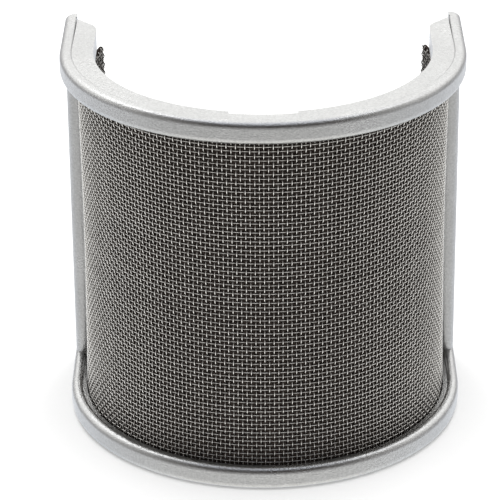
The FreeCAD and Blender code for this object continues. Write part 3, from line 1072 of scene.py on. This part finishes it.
@dataclass(frozen=True)
class Room:
    """The surroundings: pale light all round for the paper and the foam, and a room for what shines.

    The room's colour runs with elevation. Behind the part it is grey at the horizon, brightest over that,
    and bright overhead. In front it darkens from the floor to the horizon, is darkest from there to high
    overhead, where the room is unlit, and is bright at the top.

    Attributes:
        pale: colour of the light all round.
        turn: where the room is all as it is behind, and where it is all as it is in front, as cosines of the
            angle from straight in front. The first is past straight behind, so a little of the front is left.
        ahead: the room's colour in front, at each elevation in degrees, from the lowest.
        behind: its colour behind.
    """

    pale: Colour = (1.06, 1.06, 1.06, 1.0)
    turn: tuple[float, float] = (-1.2, 0.95)
    ahead: tuple[tuple[float, Triple], ...] = (
        (-90.0, (1.38, 1.38, 1.34)),
        (-60.0, (1.33, 1.33, 1.29)),
        (-32.0, (1.12, 1.12, 1.11)),
        (-22.0, (0.80, 0.80, 0.80)),
        (-11.0, (0.54, 0.54, 0.54)),
        (9.0, (0.38, 0.37, 0.37)),
        (21.0, (0.085, 0.075, 0.070)),
        (48.0, (0.055, 0.047, 0.044)),
        (58.0, (0.24, 0.24, 0.25)),
        (70.0, (0.742, 0.781, 0.858)),
        (90.0, (1.1, 1.14, 1.24)),
    )
    behind: tuple[tuple[float, Triple], ...] = (
        (-90.0, (1.38, 1.38, 1.34)),
        (-45.0, (1.02, 1.08, 1.15)),
        (-18.0, (1.20, 1.23, 1.29)),
        (-5.0, (0.56, 0.56, 0.57)),
        (4.0, (0.56, 0.56, 0.57)),
        (14.0, (1.60, 1.60, 1.59)),
        (23.0, (1.94, 1.94, 1.92)),
        (40.0, (1.84, 1.84, 1.82)),
        (70.0, (1.41, 1.43, 1.48)),
        (90.0, (1.1, 1.14, 1.24)),
    )

    def ramp(
        self, n: Nodes, level: bpy.types.NodeSocket, stops: Sequence[tuple[float, Triple]]
    ) -> bpy.types.NodeSocket:
        """A colour that changes with elevation.

        Args:
            n: the tree's helper.
            level: half the sine of the elevation, plus a half.
            stops: the colour at each elevation in degrees, from the lowest.

        Returns:
            The colour.
        """
        node = n.add("ShaderNodeValToRGB")
        n.feed(node.inputs["Fac"], level)
        node.color_ramp.interpolation = "LINEAR"
        elements = node.color_ramp.elements
        ready = len(elements)
        for index, (elevation, colour) in enumerate(stops):
            at = 0.5 + 0.5 * math.sin(math.radians(elevation))
            element = elements[index] if index < ready else elements.new(at)
            element.position = at
            element.color = (*colour, 1.0)
        return node.outputs["Color"]

    def build(self) -> None:
        """Makes the world: front and back are mixed by how far forward a direction points, at any height."""
        world = bpy.data.worlds.new("studio_room")
        bpy.context.scene.world = world
        world.use_nodes = True
        world.cycles.sampling_method = "NONE"
        n = Nodes(world.node_tree)
        background = world.node_tree.nodes["Background"]
        direction = n.add("ShaderNodeTexCoord").outputs["Generated"]
        parts = n.add("ShaderNodeSeparateXYZ")
        n.feed(parts.inputs[0], direction)
        x, y, z = parts.outputs
        flat = n.maths("SQRT", n.maths("ADD", n.maths("MULTIPLY", x, x), n.maths("MULTIPLY", y, y)))
        front = n.maths("DIVIDE", n.maths("MULTIPLY", y, -1.0), n.maths("MAXIMUM", flat, 0.001))
        level = n.maths("MULTIPLY_ADD", z, 0.5, 0.5)
        ahead, behind = self.ramp(n, level, self.ahead), self.ramp(n, level, self.behind)
        room = n.blend(n.span(front, over=self.turn), behind, ahead)
        glossy = n.add("ShaderNodeLightPath").outputs["Is Glossy Ray"]
        n.feed(background.inputs["Color"], n.blend(glossy, self.pale, room))


@dataclass
class Studio:
    """Paper floor, soft lights, surroundings and the camera.

    Attributes:
        camera_at: the camera's place, in metres.
        pitch: how far it looks down, in degrees.
        roll: how far it is turned about its own axis, in radians.
        lens: focal length, in mm.
        sensor: width of its sensor, in mm.
        shift: sideways shift of the frame.
        floor_reach: how far the floor runs each way, in metres.
        floor_drop: how far it lies under the part, in metres, so that the two faces don't flicker.
        floor_squares: how many squares it has along each side.
        lights: the soft boxes. One lights the paper and the foam, and two shine in the metal.
    """

    camera_at: Triple = (0.0, -0.57178, 0.3093)
    pitch: float = 25.02
    roll: float = -0.006
    lens: float = 202.69
    sensor: float = 36.0
    shift: float = -0.02838
    floor_reach: float = 2.0
    floor_drop: float = 0.0001
    floor_squares: int = 8
    lights: tuple[Softbox, ...] = (
        Softbox(
            "overhead_softbox", at=(0.0, 0.12, 0.75), to=(0.0, 0.05, 0.0), size=(0.7, 0.8),
            power=4.4, shine=False,
        ),
        Softbox("left_softbox", at=(-0.43, 0.33, 0.84), to=(0.0, 0.0, 0.08), size=(0.36, 0.36), power=0.80),
        Softbox("right_softbox", at=(0.49, 0.24, 0.84), to=(0.0, 0.0, 0.08), size=(0.36, 0.36), power=0.42),
    )

    def set_camera(self) -> None:
        """Places the camera: rolled about its own axis, then tipped from straight down to its pitch."""
        data = bpy.data.cameras.new("camera")
        data.lens = self.lens
        data.sensor_width = self.sensor
        data.shift_x = self.shift
        data.clip_start = 0.01
        camera = bpy.data.objects.new("camera", data)
        turn = Matrix.Rotation(math.radians(90 - self.pitch), 3, "X") @ Matrix.Rotation(self.roll, 3, "Z")
        camera.rotation_euler = turn.to_euler()
        camera.location = self.camera_at
        bpy.context.scene.collection.objects.link(camera)
        bpy.context.scene.camera = camera

    def lay_floor(self, paper: bpy.types.Material) -> None:
        """Lays a wide sheet of paper under the part, as a grid of two parameters.

        Args:
            paper: its finish.
        """
        line = self.floor_squares + 1
        reach = np.linspace(-self.floor_reach, self.floor_reach, line)
        x, y = np.meshgrid(reach, reach, indexing="ij")
        points = np.stack([x, y, np.full_like(x, -self.floor_drop)], axis=-1)
        square = np.arange(self.floor_squares)
        corner = square[:, None] * line + square[None, :]
        faces = np.stack([corner, corner + line, corner + line + 1, corner + 1], axis=-1).reshape(-1, 4)
        floor = mesh_piece("floor", points.reshape(-1, 3), [faces])
        floor.data.materials.append(paper)
        floor.visible_glossy = False

    def build(self) -> None:
        """Builds the camera, the floor, the room and the lights, and shows white as white."""
        self.set_camera()
        self.lay_floor(StudioPaper().make())
        Room().build()
        for light in self.lights:
            light.hang()
        bpy.context.scene.view_settings.view_transform = "Standard"


# ---------------------------------------------------------------- assembly


@dataclass
class PopFilter:
    """The whole part: the frame's finishes, and the three layers of the screen.

    Attributes:
        axis_y: the microphone axis's y, in mm.
        height: of the part, in mm.
        waist: how far the screens are drawn in at half height, in mm.
        slot_base: how low the screens stand in the bottom rim's slots, in mm.
        slot_top: how high they stand in the top rim's, in mm.
        leave: where the two inner layers leave their slots, in mm behind the axis.
        inner_base: lowest wire of the inner cloth, in mm.
        free_top: highest level of the free ends and of the inner cloth, in mm.
    """

    axis_y: float = 11.25
    height: float = 86.9
    waist: float = 0.55
    slot_base: float = 2.1
    slot_top: float = 84.8
    leave: float = 5.0
    inner_base: float = 6.9
    free_top: float = 80.0

    def course(self, radius: float, reach: float, **ends: float) -> Course:
        """A screen's course about the microphone's axis, with its free ends where it has them."""
        return Course(radius, reach, self.axis_y, self.waist, self.height, **ends)

    def outer_cloth(self) -> WovenCloth:
        """The cloth in front, which stands in both rims all the way round."""
        return WovenCloth("outer_mesh", self.course(radius=41.15, reach=17.4), self.slot_base, self.slot_top)

    def foam(self) -> FoamSheet:
        """The foam between the cloths, whose ends are free."""
        course = self.course(radius=40.33, reach=18.6, leave=self.leave, lean=3.2)
        return FoamSheet(course, self.slot_base, self.slot_top, flap_base=6.6, flap_top=self.free_top)

    def inner_cloth(self) -> WovenCloth:
        """The cloth behind the foam, with fewer points to a wire.

        Returns:
            The cloth, whose ends are free and roughly cut.
        """
        course = self.course(radius=39.55, reach=18.7, leave=self.leave, lean=3.1)
        rough = {"sides": 4, "steps": 2, "shares": 2, "fray": 0.7, "shine": 0.8, "seed": 4}
        return WovenCloth("inner_mesh", course, self.inner_base, self.free_top, **rough)

    def build(self, nodes: dict[str, bpy.types.Object]) -> None:
        """Dresses the carried-over nodes and builds the screen.

        Args:
            nodes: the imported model's nodes, by name.
        """
        PaintedFrame().dress(nodes)
        dress_nodes(nodes, ["foot_screws"], ScrewSteel().make())
        dress_nodes(nodes, ["lower_band", "upper_band"], BandRubber().make())
        steel = WireSteel().make()
        self.outer_cloth().build(steel, "root", "steel_mesh")
        self.foam().build(OpenFoam().make())
        self.inner_cloth().build(steel, "root", "steel_mesh")


def main() -> None:
    logging.basicConfig(level=logging.INFO, format="%(message)s")
    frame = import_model()
    PopFilter().build(frame["nodes"])
    Studio().build()


if __name__ == "__main__":
    main()
